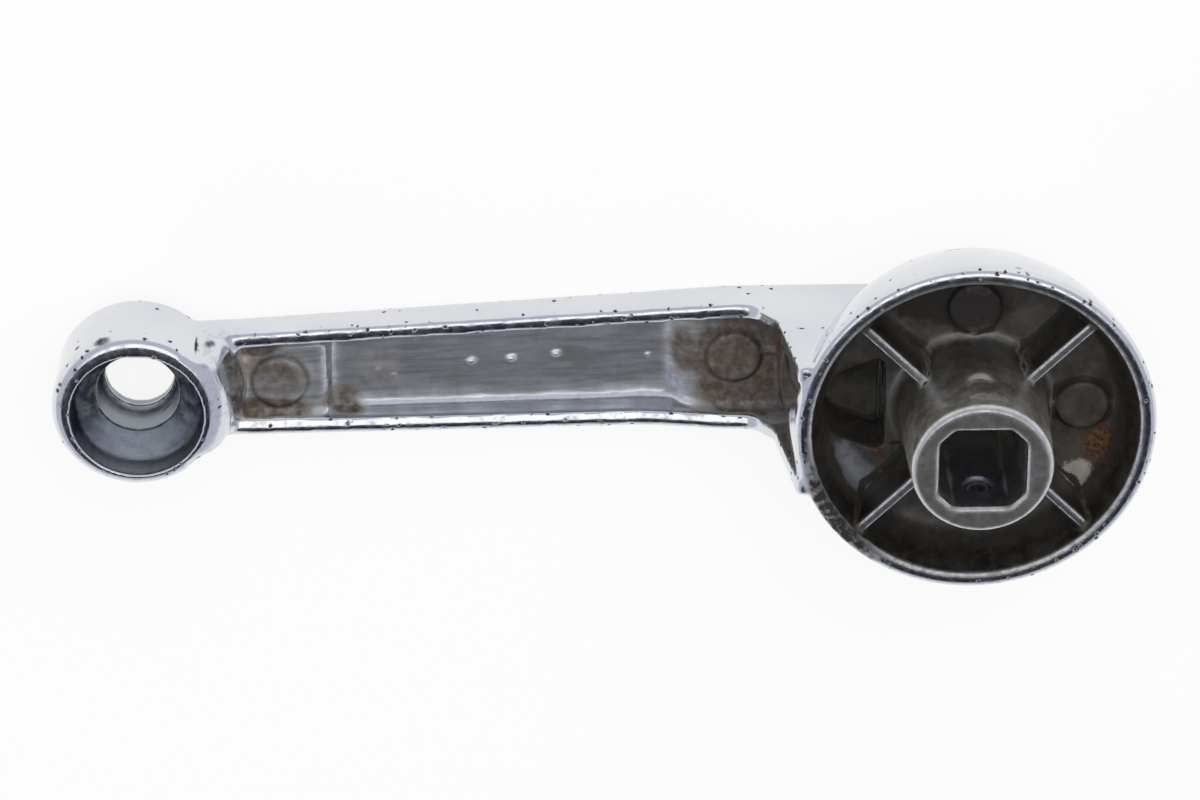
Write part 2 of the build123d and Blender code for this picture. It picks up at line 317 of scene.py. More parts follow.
def bowed_facets(corners, normals, splits):
    """Triangles cut finer and bowed to follow the normals at their corners."""
    one, two, three = corners[:, 0], corners[:, 1], corners[:, 2]
    n_one, n_two, n_three = normals[:, 0], normals[:, 1], normals[:, 2]

    def third(near, far, normal):
        rise = np.einsum("ij,ij->i", far - near, normal)[:, None]
        return (2 * near + far - rise * normal) / 3

    c210, c120 = third(one, two, n_one), third(two, one, n_two)
    c021, c012 = third(two, three, n_two), third(three, two, n_three)
    c102, c201 = third(three, one, n_three), third(one, three, n_one)
    edge_mean = (c210 + c120 + c021 + c012 + c102 + c201) / 6
    middle = edge_mean + (edge_mean - (one + two + three) / 3) / 2
    grid, index = [], {}
    for i in range(splits + 1):
        for j in range(splits + 1 - i):
            index[i, j] = len(grid)
            u, v = i / splits, j / splits
            w = 1 - u - v
            grid.append(
                w**3 * one + u**3 * two + v**3 * three
                + 3 * w * w * u * c210 + 3 * w * u * u * c120
                + 3 * u * u * v * c021 + 3 * u * v * v * c012
                + 3 * v * v * w * c102 + 3 * v * w * w * c201
                + 6 * w * u * v * middle
            )
    points = np.stack(grid, axis=1)
    small = []
    for i in range(splits):
        for j in range(splits - i):
            small.append((index[i, j], index[i + 1, j], index[i, j + 1]))
            if i + j < splits - 1:
                small.append((index[i + 1, j], index[i + 1, j + 1], index[i, j + 1]))
    per = points.shape[1]
    faces = np.array(small)[None] + (np.arange(len(points)) * per)[:, None, None]
    return points.reshape(-1, 3), faces.reshape(-1, 3)


def mesh_from(name, points, faces):
    """A mesh from arrays of points and of faces that all have as many corners."""
    mesh = bpy.data.meshes.new(name)
    count, sides = faces.shape
    mesh.vertices.add(len(points))
    mesh.vertices.foreach_set("co", np.asarray(points, np.float32).ravel())
    mesh.loops.add(count * sides)
    mesh.loops.foreach_set("vertex_index", faces.astype(np.int32).ravel())
    mesh.polygons.add(count)
    mesh.polygons.foreach_set("loop_start", np.arange(0, count * sides, sides, dtype=np.int32))
    mesh.update(calc_edges=True)
    return mesh


def swept(profiles):
    """A closed skin of triangles through rows of points, one row a profile."""
    rows, per = len(profiles), len(profiles[0])
    points = np.array(profiles, float).reshape(-1, 3)
    faces = []
    for row in range(rows - 1):
        for i in range(per):
            a, b = row * per + i, row * per + (i + 1) % per
            faces += [(a, b, b + per), (a, b + per, a + per)]
    for i in range(1, per - 1):
        faces.append((0, i + 1, i))
        last = (rows - 1) * per
        faces.append((last, last + i, last + i + 1))
    return points, np.array(faces)


def round_axis(x, y, r, turn):
    """Place in plan at radius r and angle turn from an axis at x, y."""
    return x + r * math.cos(turn), y + r * math.sin(turn)


def ring_heel():
    """Metal that slopes from the ring's rim down to the end of the channel."""
    profiles = []
    for turn in np.radians(np.linspace(-43, 43, 26)):
        reach = HEEL_HALF / max(abs(math.sin(turn)), 0.1)
        profiles.append([
            (*round_axis(RING_X, 0.0, min(r, reach), turn), z) for r, z in HEEL_OUTLINE
        ])
    return swept(profiles)


def hole_dirt(y_low, y_high):
    """Dirt packed in the cross hole between two places along it."""
    turns = np.radians(np.arange(0, 360, 20))
    return swept([
        [(HOLE_DIRT_R * math.cos(t), y, PIN_Z + HOLE_DIRT_R * math.sin(t)) for t in turns]
        for y in (y_low, y_high)
    ])


def hole_burr():
    """A torn lip of metal left on the edge of the ring's front hole."""
    profiles = []
    turns = np.radians(np.linspace(206, 252, len(BURR_TEETH)))
    for turn, tooth in zip(turns, BURR_TEETH):
        across = ((3.95, -23.55), (3.6 - tooth, -23.3), (3.95, -22.8))
        profiles.append([(*round_axis(MOUTH_X, MOUTH_Y, r, turn), z) for r, z in across])
    return swept(profiles)


def even_skin(step):
    """Points in mm and faces of the casting's surface, in even quads.

    The surface is moved off the remesh grid, because flat floors that lie on the
    grid come out with steps.
    """
    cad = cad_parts[NODE].data
    cad.calc_loop_triangles()
    loops = array_of(cad.loop_triangles, "loops", 3, np.int32)
    places = array_of(cad.vertices, "co", 3) / MM
    turns = array_of(cad.corner_normals, "vector", 3)
    corners = places[array_of(cad.loops, "vertex_index", 1, np.int32)[loops]]
    points, faces = bowed_facets(corners, turns[loops], 3)
    extras = (ring_heel(), hole_burr(), hole_dirt(5.0, 6.9), hole_dirt(-6.8, -4.9))
    for more, more_faces in extras:
        faces = np.concatenate([faces, more_faces + len(points)])
        points = np.concatenate([points, more])
    off_grid = np.array((0.07, 0.05, 0.11))
    holder = bpy.data.objects.new("skin", mesh_from("skin", points + off_grid, faces))
    bpy.context.scene.collection.objects.link(holder)
    even = holder.modifiers.new("even", "REMESH")
    even.mode = "VOXEL"
    even.voxel_size = step
    even.adaptivity = 0
    depsgraph = bpy.context.evaluated_depsgraph_get()
    result = holder.evaluated_get(depsgraph).to_mesh()
    points = array_of(result.vertices, "co", 3) - off_grid
    faces = array_of(result.loops, "vertex_index", 1, np.int32).reshape(-1, 4)
    data = holder.data
    bpy.data.objects.remove(holder)
    bpy.data.meshes.remove(data)
    return points, faces


def edges_of(faces):
    """Each edge once, as pairs of point numbers."""
    pairs = np.concatenate([faces[:, [i, (i + 1) % 4]] for i in range(4)])
    pairs.sort(axis=1)
    return np.unique(pairs, axis=0)


def eased(points, edges, share):
    """Points moved a share of the way to the middle of their neighbours."""
    count = len(points)
    a, b = edges[:, 0], edges[:, 1]
    links = np.bincount(a, minlength=count) + np.bincount(b, minlength=count)
    moved = np.empty_like(points)
    for axis in range(points.shape[1]):
        total = np.bincount(a, points[b, axis], count)
        total = total + np.bincount(b, points[a, axis], count)
        moved[:, axis] = total / np.maximum(links, 1)
    return points + share * (moved - points)


def normals_of(points, faces):
    """Unit normal at each point, weighted by area."""
    across = points[faces[:, 2]] - points[faces[:, 0]]
    other = points[faces[:, 3]] - points[faces[:, 1]]
    face_normals = np.cross(across, other)
    total = np.zeros_like(points)
    for corner in range(4):
        for axis in range(3):
            total[:, axis] += np.bincount(
                faces[:, corner], face_normals[:, axis], len(points)
            )
    return total / np.maximum(np.linalg.norm(total, axis=1, keepdims=True), 1e-12)


def ripple(points, size, seed):
    """Smooth random value from -1 to 1; size is the distance between bumps in mm."""
    lattice = np.random.default_rng(seed).uniform(-1, 1, (32, 32, 32))
    cell = points / size
    base = np.floor(cell).astype(int)
    part = cell - base
    part = part * part * (3 - 2 * part)
    total = np.zeros(len(points))
    for corner in np.ndindex(2, 2, 2):
        share = np.prod(np.where(corner, part, 1 - part), axis=1)
        spot = (base + corner) % 32
        total += share * lattice[spot[:, 0], spot[:, 1], spot[:, 2]]
    return total


def ramp(values, start, end):
    """0 at start, 1 at end, eased between them."""
    share = np.clip((values - start) / (end - start), 0, 1)
    return share * share * (3 - 2 * share)


def arm_half(x):
    """Half width of the arm at x, in mm."""
    return np.interp(x, (-85.4, -33.0, -24.8, 0), (5.85, 6.95, 7.5, 7.5))


def arm_rim_z(x):
    """Height of the flange rims at x, in mm."""
    return np.interp(x, (-76.5, -33.0, -22.0, -19.9), (-19.8, -22.5, -22.2, -19.7))


def covered(points, kind):
    """How far each point lies under the marks of one kind, from 0 to 1."""
    cover = np.zeros(len(points))
    for middle, halves, strength in MARKS[kind]:
        away = np.linalg.norm((points - np.array(middle)) / np.array(halves), axis=1)
        cover = np.maximum(cover, strength * (1 - ramp(away, 0.35, 1.0)))
    return cover


def soft_places(points):
    """Rounds of extra wear at each point, where the casting's edges are softest."""
    x, y, z = points.T
    half, rim_z = arm_half(x), arm_rim_z(x)
    rounds = np.zeros(len(points))
    over_web = (x > -78.5) & (x < -18.5) & (np.abs(y) < half + 0.2)
    flanges = over_web & (np.abs(z - rim_z) < 1.3) & (np.abs(y) > half - 2.9)
    cup_mouth = (np.abs(np.hypot(x, y) - CUP_MOUTH_R) < 0.6) & (z > RIM_Z - 0.8)
    heel = (x > -80.5) & (x < -74.2) & (z > -20.8) & (np.hypot(x - RING_X, y) > 7.7)
    for place, count in ((flanges, 14), (cup_mouth, 2), (heel, 22)):
        rounds[place] = count
    low = 1 - ramp(z, rim_z - 1.2, rim_z - 0.7)
    low = low * (z > -27.0) * (1 - ramp(np.abs(y), half - 1.7, half - 1.4))
    tip_step = ramp(x, -69.6, -68.0) * (1 - ramp(x, -65.0, -63.4))
    root_step = ramp(x, -36.0, -33.0) * (1 - ramp(x, -28.5, -25.5))
    return np.maximum(rounds, low * (30 * tip_step + 60 * root_step))


def along_line(points, line):
    """Distance in plan from each point to a line through given places."""
    nearest = np.full(len(points), 1e3)
    plan = points[:, :2]
    for start, end in zip(line, line[1:]):
        start, end = np.array(start), np.array(end)
        run = end - start
        share = np.clip((plan - start) @ run / (run @ run), 0, 1)
        away = np.linalg.norm(plan - start - share[:, None] * run, axis=1)
        nearest = np.minimum(nearest, away)
    return nearest


def on_web(z):
    """Whether each height is one of the web's."""
    low, high = WEB_LEVELS
    return (z > low) & (z < high)


def disc_grooves(points, full, gone):
    """1 in the groove round each disc on the web, fading between two distances."""
    x, y, z = points.T
    groove = np.zeros(len(points))
    for disc_x, disc_y in WEB_DISCS:
        away = np.abs(np.hypot(x - disc_x, y - disc_y) - WEB_GROOVE_R)
        groove = np.maximum(groove, (1 - ramp(away, full, gone)) * on_web(z))
    return groove


def worn_edges(points, normals):
    """For each worn inner edge: distance past its crest, crest height, points on it."""
    x, y, z = points.T
    up = normals[:, 2] > 0.3
    across = -y - (arm_half(x) - FLANGE_WIDTH)
    on = up & (x > -75.5) & (x < -21.0) & (np.abs(z - arm_rim_z(x)) < 0.9) & (across > -0.2)
    crest = on & (across > 0.95) & (across < 1.25)
    order = np.argsort(x[crest])
    top = np.interp(x, x[crest][order], z[crest][order])
    yield across - 0.9, top, on & (across < 0.9)
    across = np.hypot(x, y) - CUP_MOUTH_R
    on = up & (y < -8.0) & (np.abs(z - RIM_Z) < 0.6) & (across > -0.2)
    yield across - 0.5, np.full(len(x), RIM_Z), on & (across < 0.5)


def hand_fitting(points, normals):
    """Rise in mm at each point: worn slopes, grooves, pips and the flow line."""
    x, y, z = points.T
    up = ramp(normals[:, 2], 0.2, 0.6)
    rise = np.zeros(len(points))
    for across, top, on in worn_edges(points, normals):
        sloped = top - WORN_SLOPE * np.clip(-across, 0, None)
        rise += np.where(on, np.minimum(0, sloped - z), 0)
    rise -= GROOVE_DEPTH * disc_grooves(points, 0.05, 0.34) * up
    for pip_x, pip_y, half in WEB_PIPS:
        away = np.hypot((x - pip_x) / half, (y - pip_y) / (0.6 * half))
        rise += PIP_HEIGHT * (1 - ramp(away, 0.2, 1.0)) * up * on_web(z)
    ridge = 1 - ramp(along_line(points, FLOW_LINE), 0.15, 0.55)
    rise += FLOW_LINE_HEIGHT * ridge * up * (np.abs(z - CUP_Z) < 0.5)
    return rise


def inside_cup(points, normals):
    """1 on the cup, its ribs and boss, the pocket and the socket."""
    x, y, z = points.T
    hub_r = np.hypot(x, y)
    wall_r = np.interp(z, (CUP_Z, RIM_Z), (CUP_FLOOR_R, CUP_MOUTH_R))
    outward = (normals[:, 0] * x + normals[:, 1] * y) / np.maximum(hub_r, 1e-6)
    cup = (1 - ramp(hub_r, wall_r + 0.25, wall_r + 0.75)) * ramp(z, CUP_Z - 0.9, CUP_Z - 0.5)
    near_pocket = (x > -16.2) & (x < -8.0) & (np.abs(y) < 6.2) & (z < CUP_Z + 1.5)
    pocket = near_pocket & (z > POCKET_FLOOR_Z - 0.6) & (outward < 0.5)
    near_socket = (hub_r < 6.4) & (z > SOCKET_FLOOR_Z - 0.6)
    return np.maximum(cup, np.maximum(pocket, near_socket))


def bore_masks(points):
    """The ring's stepped bore, and the ledge in it where pale oxide grows."""
    x, y, z = points.T
    ring_r = np.hypot(x - MOUTH_X, y - MOUTH_Y)
    bore = 1 - ramp(ring_r, MOUTH_R, MOUTH_R + 0.3)
    bore = bore * (1 - ramp(z, RING_RIM_Z - 0.5, RING_RIM_Z - 0.1))
    ledge = ramp(ring_r, 3.9, 4.4) * (1 - ramp(ring_r, 5.6, 6.8)) * bore
    ledge *= ramp(z, THROAT_Z - 1.0, THROAT_Z - 0.1)
    return bore, ledge


def channel_masks(points, normals):
    """The channel between the flanges, and the heel that closes it at the ring."""
    x, y, z = points.T
    inside = 1 - ramp(np.abs(y), arm_half(x) - 1.75, arm_half(x) - 1.45)
    between = ramp(x, -77.2, -76.6) * (1 - ramp(x, -18.6, -18.3))
    low = 1 - ramp(z, arm_rim_z(x) - 1.0, arm_rim_z(x) - 0.3)
    heel = (1 - ramp(x, -75.0, -74.5)) * ramp(z, -21.4, -20.7)
    channel = inside * between * low * ramp(normals[:, 2], -0.6, -0.3) * (1 - heel)
    return channel, heel * (x > -78.5)


def finish_masks(points, normals, bulge):
    """What covers each point: plating, dirt, stains, painted light and painted shade, each
    from 0 to 1.
    """
    x, y, z = points.T
    cup = inside_cup(points, normals)
    bore, ledge = bore_masks(points)
    channel, heel = channel_masks(points, normals)
    plated = (1 - np.clip(cup + bore, 0, 1)) * (1 - channel)
    nook = ramp(-bulge, 0.02, 0.10)
    hub_r = np.hypot(x, y)
    off_boss = ramp(hub_r, BOSS_R + 0.3, BOSS_R + 1.2)
    high = ramp(z, CUP_Z + 2.0, CUP_Z + 3.5) * ramp(np.hypot(x, z - PIN_Z), 2.3, 2.8)
    socket = cup * (1 - ramp(hub_r, 4.6, 5.4)) * (z < -0.4)
    masks = {
        "bare": np.clip(cup, 0, 1),
        "bore": bore,
        "channel": channel,
        "edge": ramp(bulge, 0.02, 0.09),
        "ends": ramp(bulge, 0.03, 0.09) * np.clip(cup * high + bore, 0, 1),
        # facing: painted light on the walls of the channel, bore and socket that face +Y.
        "facing": np.clip(channel + bore + socket, 0, 1) * ramp(normals[:, 1], 0.2, 0.6),
        # deep: painted shade, the cup darker towards its floor, away from the boss.
        "deep": cup * off_boss * (1 - ramp(z, CUP_Z + 0.3, RIM_Z - 2.5)),
        "boss": cup * (1 - off_boss),
        "groove": disc_grooves(points, 0.08, 0.30) * channel,
        "top": plated * np.maximum(ramp(normals[:, 2], 0.80, 0.97), 0.6 * heel),
        "flat": ramp(normals[:, 2], 0.85, 0.98),
        # grime: dark in concave nooks of the cup, bore and channel, grease and painted shade
        # in one.
        "grime_and_shade": np.clip(nook * (0.9 * cup + 0.6 * bore + 0.45 * channel), 0, 1),
        "bloom": ledge,
    }
    for kind in MARKS:
        masks[kind] = covered(points, kind)
    masks["stain"] = masks["stain"] * channel
    return masks


def pitted(points, normals, masks, count, depth, seed):
    """Points pressed in at pits scattered along the edges of the plating."""
    draw = np.random.default_rng(seed)
    plated = (1 - np.clip(masks["bare"] + masks["bore"], 0, 1)) * (1 - masks["channel"])
    weight = plated * (0.01 + masks["edge"] ** 2)
    centres = draw.choice(len(points), size=count, replace=False, p=weight / weight.sum())
    tree = kdtree.KDTree(len(points))
    for number, place in enumerate(points):
        tree.insert(place, number)
    tree.balance()
    sunk = np.zeros(len(points))
    for centre in centres:
        radius = draw.uniform(0.24, 0.36)
        deep = depth * draw.uniform(0.4, 1.0)
        for _, number, away in tree.find_range(points[centre], radius):
            sunk[number] = max(sunk[number], deep * (1 - (away / radius) ** 2))
    return points - normals * sunk[:, None], sunk / depth


class Skin:
    """The dressed surface of the whole casting, made once and shared by its pieces."""

    made = None

    def __init__(self, sizes):
        points, faces = even_skin(sizes.mesh_step)
        edges = edges_of(faces)
        points = self.worn(points, edges, sizes.edge_rounds)
        normals = normals_of(points, faces)
        points = points + np.outer(hand_fitting(points, normals), (0, 0, 1))
        normals = normals_of(points, faces)
        broad = points
        for _ in range(10):
            broad = eased(broad, edges, 0.6)
        bulge = np.einsum("ij,ij->i", points - broad, normals)
        masks = finish_masks(points, normals, bulge)
        points = points + normals * self.unevenness(points, masks, sizes)[:, None]
        points, masks["pit"] = pitted(
            points, normals, masks, sizes.pit_count, sizes.pit_depth, 11
        )
        low, high = (np.array(corner) / MM for corner in CAD_BOX)
        self.points = np.clip(points, low, high)
        self.faces = faces
        self.normals = normals_of(self.points, faces)
        self.masks = masks

    @staticmethod
    def worn(points, edges, edge_rounds):
        """Points with their edges rubbed down, most where the casting is softest."""
        for _ in range(edge_rounds):
            points = eased(points, edges, 0.5)
            points = eased(points, edges, -0.51)
        points = eased(points, edges, 0.5)
        rounds = soft_places(points)
        for turn in range(int(rounds.max())):
            points = np.where((rounds > turn)[:, None], eased(points, edges, 0.5), points)
        return points

    @staticmethod
    def unevenness(points, masks, sizes):
        """Rise in mm from hand polishing outside and cast grain inside."""
        rough = np.clip(masks["bare"] + masks["bore"], 0, 1)
        web = masks["channel"] * masks["flat"]
        lift = -sizes.sway * (1 - rough) * (0.5 + 0.5 * ripple(points, 5.0, 1))
        lift -= sizes.grain * rough * (0.5 + 0.35 * ripple(points, 0.9, 2))
        lift -= sizes.grain * rough * 0.5 * (0.5 + 0.5 * ripple(points, 2.7, 3))
        lift -= 0.3 * sizes.grain * web * ripple(points, 1.3, 4)
        return lift

    def regions(self):
        """Which piece each face belongs to."""
        middle = self.points[self.faces].mean(axis=1)
        x, y, z = middle.T
        inner = self.masks["bare"][self.faces].mean(axis=1) > 0.5
        names = np.full(len(middle), "hub_shell", dtype=object)
        names[inner] = "hub_cup"
        names[(x < ARM_ROOT_X) & (x >= ARM_END_X)] = "arm"
        names[x < ARM_END_X] = "knob_ring"
        return names


def skin():
    """The shared surface, made at the first call."""
    if Skin.made is None:
        Skin.made = Skin(bpy.context.scene.crank_sizes)
    return Skin.made


def piece(name, material):
    """One piece of the casting's surface, with its masks as attributes."""
    whole = skin()
    faces = whole.faces[whole.regions() == name]
    used, renumbered = np.unique(faces, return_inverse=True)
    mesh = mesh_from(name, whole.points[used] * MM, renumbered.reshape(faces.shape))
    for mask, values in whole.masks.items():
        layer = mesh.attributes.new(mask, "FLOAT", "POINT")
        layer.data.foreach_set("value", values[used].astype(np.float32))
    mesh.polygons.foreach_set("use_smooth", np.ones(len(faces), bool))
    mesh.normals_split_custom_set_from_vertices(whole.normals[used].astype(np.float32))
    mesh.materials.append(material)
    thing = bpy.data.objects.new(name, mesh)
    bpy.context.scene.collection.objects.link(thing)
    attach(thing, BODY)
    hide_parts(NODE)
    return thing


# ---- Finish -------------------------------------------------------------------

class Wiring:
    """Short calls for a material's nodes."""

    def __init__(self, name):
        self.material = bpy.data.materials.new(name)
        self.material.use_nodes = True
        self.tree = self.material.node_tree
        self.tree.nodes.clear()
        self.place = self.add("ShaderNodeTexCoord").outputs["Object"]

    def add(self, kind, **settings):
        """A new node with its settings."""
        node = self.tree.nodes.new(kind)
        for key, value in settings.items():
            setattr(node, key, value)
        return node

    def plug(self, source, socket):
        """Link a socket to source, or set it where source is a plain value."""
        if hasattr(source, "is_output"):
            self.tree.links.new(source, socket)
        else:
            socket.default_value = source

    def mask(self, name):
        """One of the surface's masks."""
        node = self.add("ShaderNodeAttribute", attribute_name=name)
        return node.outputs["Fac"]

    def maths(self, operation, *values, clamp=False):
        """One sum on sockets or numbers."""
        node = self.add("ShaderNodeMath", operation=operation, use_clamp=clamp)
        for socket, value in zip(node.inputs, values):
            self.plug(value, socket)
        return node.outputs[0]

    def noise(self, size, detail=4.0, rough=0.55, stretch=None):
        """Noise whose lumps are size mm apart."""
        node = self.add("ShaderNodeTexNoise")
        node.inputs["Scale"].default_value = 1 / (size * MM)
        node.inputs["Detail"].default_value = detail
        node.inputs["Roughness"].default_value = rough
        source = self.place
        if stretch:
            mapping = self.add("ShaderNodeMapping")
            mapping.inputs["Scale"].default_value = stretch
            self.plug(source, mapping.inputs["Vector"])
            source = mapping.outputs[0]
        self.plug(source, node.inputs["Vector"])
        return node.outputs["Fac"]

    def warped(self, size, reach):
        """Place pushed about by noise, both in mm, so that round marks turn ragged."""
        push = self.add("ShaderNodeTexNoise")
        push.inputs["Scale"].default_value = 1 / (size * MM)
        self.plug(self.place, push.inputs["Vector"])
        centred = self.add("ShaderNodeVectorMath", operation="SUBTRACT")
        self.plug(push.outputs["Color"], centred.inputs[0])
        centred.inputs[1].default_value = (0.5, 0.5, 0.5)
        moved = self.add("ShaderNodeVectorMath", operation="MULTIPLY_ADD")
        self.plug(centred.outputs[0], moved.inputs[0])
        moved.inputs[1].default_value = (reach * MM, reach * MM, reach * MM)
        self.plug(self.place, moved.inputs[2])
        return moved.outputs[0]

    def dots(self, size, place, stretch=(1.0, 1.0, 1.0)):
        """Distance to the nearest of scattered dots, and that dot's own number."""
        mapping = self.add("ShaderNodeMapping")
        mapping.inputs["Scale"].default_value = stretch
        self.plug(place, mapping.inputs["Vector"])
        node = self.add("ShaderNodeTexVoronoi")
        node.inputs["Scale"].default_value = 1 / (size * MM)
        self.plug(mapping.outputs[0], node.inputs["Vector"])
        split = self.add("ShaderNodeSeparateColor")
        self.plug(node.outputs["Color"], split.inputs[0])
        return node.outputs["Distance"], split.outputs[0]

    def ragged(self, cover, grain, reach, low, high):
        """A mask whose border noise eats into, and which stays 0 where the mask is."""
        eaten = self.maths("MULTIPLY_ADD", self.maths("SUBTRACT", grain, 0.5), reach, cover)
        inside = self.between(cover, 0.02, 0.15)
        return self.maths("MULTIPLY", self.between(eaten, low, high), inside)

    def between(self, value, low, high, bottom=0.0, top=1.0):
        """Value mapped from low..high to bottom..top."""
        node = self.add("ShaderNodeMapRange")
        self.plug(value, node.inputs["Value"])
        limits = {"From Min": low, "From Max": high, "To Min": bottom, "To Max": top}
        for name, number in limits.items():
            node.inputs[name].default_value = number
        return node.outputs[0]

    def mix(self, share, one, two):
        """Colour one, going over to colour two by share."""
        node = self.add("ShaderNodeMix", data_type="RGBA")
        self.plug(share, node.inputs["Factor"])
        self.plug(colour(one), node.inputs["A"])
        self.plug(colour(two), node.inputs["B"])
        return node.outputs["Result"]

    def blend(self, share, one, two):
        """Number one, going over to number two by share."""
        node = self.add("ShaderNodeMix", data_type="FLOAT")
        self.plug(share, node.inputs["Factor"])
        self.plug(one, node.inputs["A"])
        self.plug(two, node.inputs["B"])
        return node.outputs["Result"]

    def bump(self, height, distance):
        """Normals bent by height; distance in mm."""
        node = self.add("ShaderNodeBump")
        node.inputs["Strength"].default_value = 1.0
        node.inputs["Distance"].default_value = distance * MM
        self.plug(height, node.inputs["Height"])
        return node.outputs["Normal"]

    def shade(self, base, metal, rough, normal):
        """The finished material."""
        shader = self.add("ShaderNodeBsdfPrincipled")
        self.plug(base, shader.inputs["Base Color"])
        self.plug(metal, shader.inputs["Metallic"])
        self.plug(rough, shader.inputs["Roughness"])
        self.plug(normal, shader.inputs["Normal"])
        output = self.add("ShaderNodeOutputMaterial")
        self.plug(shader.outputs[0], output.inputs["Surface"])
        return self.material


def colour(value):
    """A colour with its fourth number, where it is a plain one."""
    return value if hasattr(value, "is_output") else (*value, 1.0)


def crank_finish():
    """Worn plating outside, thin plating in the channel and dirty zinc inside, with painted
    light on walls that face +Y and painted shade in hollows.
    """
    name = "worn plated zinc"
    if name in bpy.data.materials:
        return bpy.data.materials[name]
    tint = bpy.context.scene.crank_finish
    w = Wiring(name)
    fine = w.noise(0.35, 6)
    coarse = w.noise(0.9, 5)
    patch = w.noise(3.2, 5)
    broad = w.noise(9.0, 3)
    bare, bore, channel = w.mask("bare"), w.mask("bore"), w.mask("channel")
    edge, top = w.mask("edge"), w.mask("top")
    unplated = w.maths("MAXIMUM", w.maths("MAXIMUM", bare, bore), channel)
    plated = w.maths("SUBTRACT", 1.0, unplated)
    bare_edge = w.ragged(bare, patch, 0.5, 0.35, 0.65)
    bore_edge = w.ragged(bore, coarse, 0.5, 0.35, 0.65)

    # Plating, dull where it is thin and mottled where it is worn flat.
    patchy = w.between(patch, 0.35, 0.65)
    plating = w.mix(w.between(broad, 0.35, 0.7), tuple(tint.plating), TONES["polish shade"])
    worn = w.maths("MULTIPLY", w.between(coarse, 0.54, 0.66, 0.0, 0.6), top)
    plating = w.mix(worn, plating, TONES["worn flat"])
    streak = w.noise(0.7, 3, 0.6, stretch=(0.08, 1.0, 1.0))
    streaky = w.between(streak, 0.42, 0.62, 0.0, 0.6)
    dull = w.mix(patchy, tuple(tint.dull_plating), TONES["thin plating shade"])
    dull = w.mix(streaky, dull, TONES["thin plating streak"])

    # Bare metal: the cup, its boss, which is cleaner on its side, and the bore.
    zinc = w.mix(patchy, tuple(tint.zinc), TONES["zinc shade"])
    zinc = w.mix(w.between(coarse, 0.52, 0.70, 0.0, 0.55), zinc, TONES["zinc spot"])
    boss = w.mix(w.between(patch, 0.40, 0.62), TONES["boss dark"], TONES["boss light"])
    steep = w.maths("MULTIPLY_ADD", w.mask("flat"), -0.5, 1.0)
    zinc = w.mix(w.maths("MULTIPLY", w.mask("boss"), steep), zinc, boss)
    blotch = w.between(w.noise(1.6, 5), 0.40, 0.66)
    cored = w.mix(blotch, TONES["bore dark"], TONES["bore light"])
    base = w.mix(channel, plating, dull)
    base = w.mix(bare_edge, base, zinc)
    base = w.mix(bore_edge, base, cored)

    # Painted light: walls of the channel, the bore and the socket that face +Y are given a
    # lighter tone for the light that falls on that side.
    facing = w.maths("MULTIPLY", w.mask("facing"), w.between(coarse, 0.30, 0.55, 0.7, 1.0))
    painted_light_tone = w.mix(channel, TONES["bore painted light"], TONES["channel painted light"])
    base = w.mix(facing, base, painted_light_tone)
    ends = w.maths("MULTIPLY", w.mask("ends"), w.between(coarse, 0.30, 0.55, 0.4, 1.0))
    base = w.mix(ends, base, TONES["rubbed end"])

    # Specks and short scratches in the plating, thickest along its edges.
    warped = w.warped(0.35, 0.5)
    away, pick = w.dots(0.8, warped)
    chosen = w.maths("GREATER_THAN", pick, w.maths("MULTIPLY_ADD", edge, -0.36, 0.965))
    speck = w.maths("MULTIPLY", chosen, w.between(away, 0.34, 0.20))
    away, pick = w.dots(2.1, warped, stretch=(0.4, 1.0, 0.7))
    chosen = w.maths("GREATER_THAN", pick, 0.62)
    scar = w.maths("MULTIPLY", chosen, w.between(away, 0.12, 0.06))
    speck = w.maths("MULTIPLY", w.maths("MAXIMUM", speck, scar), plated)
    pit = w.between(w.maths("MULTIPLY_ADD", fine, 0.5, w.mask("pit")), 0.45, 0.75)
    dark = w.maths("MAXIMUM", speck, pit, clamp=True)
    base = w.mix(dark, base, TONES["speck"])

    # Dirt, stains, oxide and painted shade, each laid over what is under it.
    scraped = w.ragged(w.mask("scraped"), fine, 1.4, 0.35, 0.75)
    base = w.mix(scraped, base, TONES["scraped"])
    pale = w.ragged(w.mask("pale"), coarse, 1.0, 0.35, 0.9)
    base = w.mix(pale, base, TONES["pale"])
    stain = w.ragged(w.mask("stain"), patch, 0.7, 0.0, 0.60)
    stain = w.maths("MULTIPLY", stain, w.between(coarse, 0.25, 0.60, 0.72, 1.0))
    base = w.mix(stain, base, tuple(tint.stain))
    # Painted shade and grease: the nooks darken, and the soot marks, the deep cup floor and
    # the grooves round the discs take the same colour.
    grime_and_shade = w.ragged(w.mask("grime_and_shade"), patch, 0.9, 0.30, 0.85)
    # Soot marks: dark dirt specks and painted shade, held off the walls that are painted
    # light.
    soot_and_shade = w.ragged(w.mask("soot_and_shade"), coarse, 0.8, 0.25, 0.75)
    soot_and_shade = w.maths("MULTIPLY", soot_and_shade, w.maths("MULTIPLY_ADD", facing, -0.8, 1.0))
